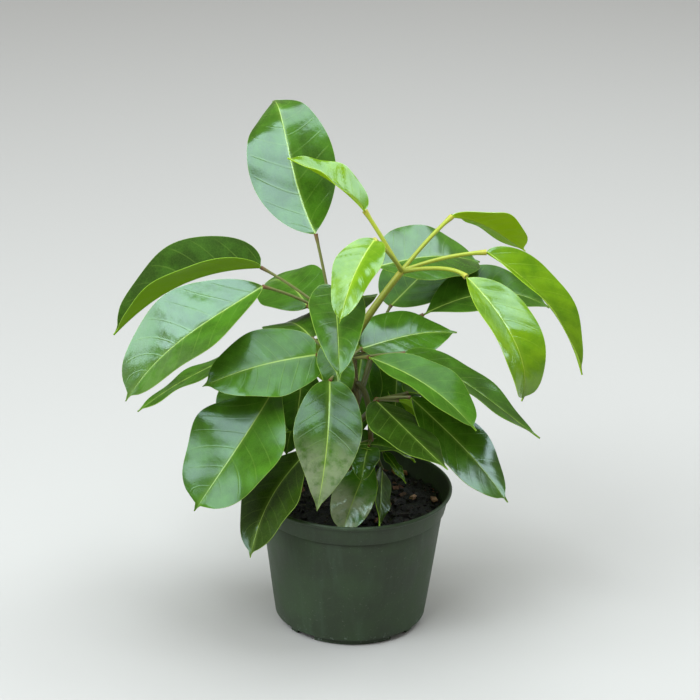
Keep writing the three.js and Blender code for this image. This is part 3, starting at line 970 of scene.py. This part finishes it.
def cut(piece, cutter):
    """Takes the cutter's shape out of the piece, and then deletes the cutter."""
    change = piece.modifiers.new("cut", "BOOLEAN")
    change.object = cutter
    change.solver = "EXACT"
    change.use_self = True
    graph = bpy.context.evaluated_depsgraph_get()
    piece.data = bpy.data.meshes.new_from_object(piece.evaluated_get(graph))
    piece.modifiers.clear()
    bpy.data.objects.remove(cutter)


def add_pot():
    skin = Skin()
    turned(skin, pot_profile(), POT_SIDES)
    pot = skin.piece("pot_shell", pot_material(), "pot_plastic", ["pot"])
    cut(pot, drain_cutter())


# ---- potting mix ----------------------------------------------------------------------

SOIL_TOP = 101
SOIL_RELIEF = 1.6
SOIL_RINGS = 60
SOIL_SIDES = 140
CRUMBS = 900
CRUMB_REACH = 74  # the crumbs lie between the stem and this radius
CRUMB_CLEARANCE = 7
CHIP_WIDTH = 0.45  # as a share of the chip's length
CHIP_THICKNESS = 2.2
FRESH_CHIPS = [
    # x, y, length, turn and tone of each large chip
    (-37, 54, 15, 20, 0.0),
    (-15, 40, 12, -35, 0.1),
    (51, 11, 8, 60, 0.9),
    (68, 4, 9, 100, 0.8),
    (40, 58, 13, 10, 0.4),
    (28, 34, 8, -60, 0.5),
]


def soil_height(x, y):
    lumps = math.sin(x * 0.19 + 1.3) * math.cos(y * 0.23 - 0.4)
    lumps += 0.6 * math.sin(x * 0.41 - y * 0.37)
    return SOIL_TOP + SOIL_RELIEF * lumps + 2 * (1 - math.hypot(x, y) / RIM_RADIUS)


def crumbly(x, y):
    """Height of the top of the potting mix, with its small lumps."""
    rough = noise.noise(Vector((x, y, 5)) * 0.22) + 0.6 * noise.noise(Vector((x, y, 9)) * 0.6)
    return soil_height(x, y) + 0.9 * rough


def add_potting_mix():
    skin = Skin()
    edge = wall_radius(SOIL_TOP) - WALL - 0.8
    circle = [2 * math.pi * k / SOIL_SIDES for k in range(SOIL_SIDES)]
    rows = []
    for i in range(SOIL_RINGS):
        r = edge - (edge - 3) * i / (SOIL_RINGS - 1)
        row = []
        for angle in circle:
            x, y = r * math.cos(angle), r * math.sin(angle)
            row.append(skin.point(Vector((x, y, crumbly(x, y)))))
        rows.append(row)
    for first, second in zip(rows, rows[1:]):
        skin.band(first, second)
    skin.cap(rows[-1])
    above = rows[0]
    shoulder = (wall_radius(90) - WALL - 1.2, 90)
    foot = (wall_radius(FLOOR) - WALL - 1, FLOOR + 0.3)
    for r, z in (shoulder, foot):
        row = []
        for angle in circle:
            row.append(skin.point(Vector((r * math.cos(angle), r * math.sin(angle), z))))
        skin.band(row, above)
        above = row
    skin.cap(reversed(above))
    skin.piece("potting_mix_bed", mix_material(), "potting_mix", ["potting_mix"])


def slab(skin, centre, size, turn, dice, tone):
    """A rough chip: a box whose corners are knocked about."""
    corners = []
    for z in (-1, 1):
        for x, y in ((-1, -1), (1, -1), (1, 1), (-1, 1)):
            wild = Vector([0.35 * (dice.random() - 0.5) for _ in range(3)])
            local = (Vector((x, y, z)) + wild) * Vector(size)
            corners.append(skin.point(centre + turn @ (local / 2), tone=tone))
    low, high = corners[:4], corners[4:]
    skin.band(low, high)
    skin.cap(reversed(low))
    skin.cap(high)


def spun(turn, axis, tip, tip_axis):
    """A turn about one axis after a tip about another, both in radians."""
    return Matrix.Rotation(turn, 3, axis) @ Matrix.Rotation(tip, 3, tip_axis)


def add_crumbs():
    dice = random.Random(11)
    crumbs = Skin("tone")
    for _ in range(CRUMBS):
        r = CRUMB_REACH * math.sqrt(dice.random())
        a = 2 * math.pi * dice.random()
        x, y = r * math.cos(a), r * math.sin(a)
        if r < CRUMB_CLEARANCE:
            continue
        size = 0.8 + 2.6 * dice.random() ** 2.5
        spin = spun(6.3 * dice.random(), "Z", dice.random(), "X")
        centre = Vector((x, y, crumbly(x, y) + 0.25 * size))
        dims = (size * (1 + 1.5 * dice.random()), size * (0.6 + 0.6 * dice.random()), 0.7 * size)
        slab(crumbs, centre, dims, spin, dice, dice.random() ** 2)
    crumbs.piece("bark_crumbs", crumb_material(), "potting_mix", ["potting_mix"], crease=20)
    chips = Skin("tone")
    for x, y, length, turn, tone in FRESH_CHIPS:
        spin = spun(math.radians(turn), "Z", 0.15, "Y")
        centre = Vector((x, y, crumbly(x, y) + 0.9))
        slab(chips, centre, (length, CHIP_WIDTH * length, CHIP_THICKNESS), spin, dice, tone)
    chips.piece("bark_chips", chip_material(), "potting_mix", ["potting_mix"], crease=20)


# ---- assembly -------------------------------------------------------------------------

FLOOR_REACH = 4  # metres


def add_floor():
    mesh = bpy.data.meshes.new("floor")
    signs = ((-1, -1), (1, -1), (1, 1), (-1, 1))
    corners = [(x * FLOOR_REACH, y * FLOOR_REACH, 0) for x, y in signs]
    mesh.from_pydata(corners, [], [(0, 1, 2, 3)])
    mesh.materials.append(floor_material())
    floor = bpy.data.objects.new("floor", mesh)
    bpy.context.scene.collection.objects.link(floor)


add_camera()
add_lights()
add_floor()
add_pot()
add_potting_mix()
add_crumbs()
add_stem()
add_fronds()
bpy.context.scene.view_settings.view_transform = "Standard"
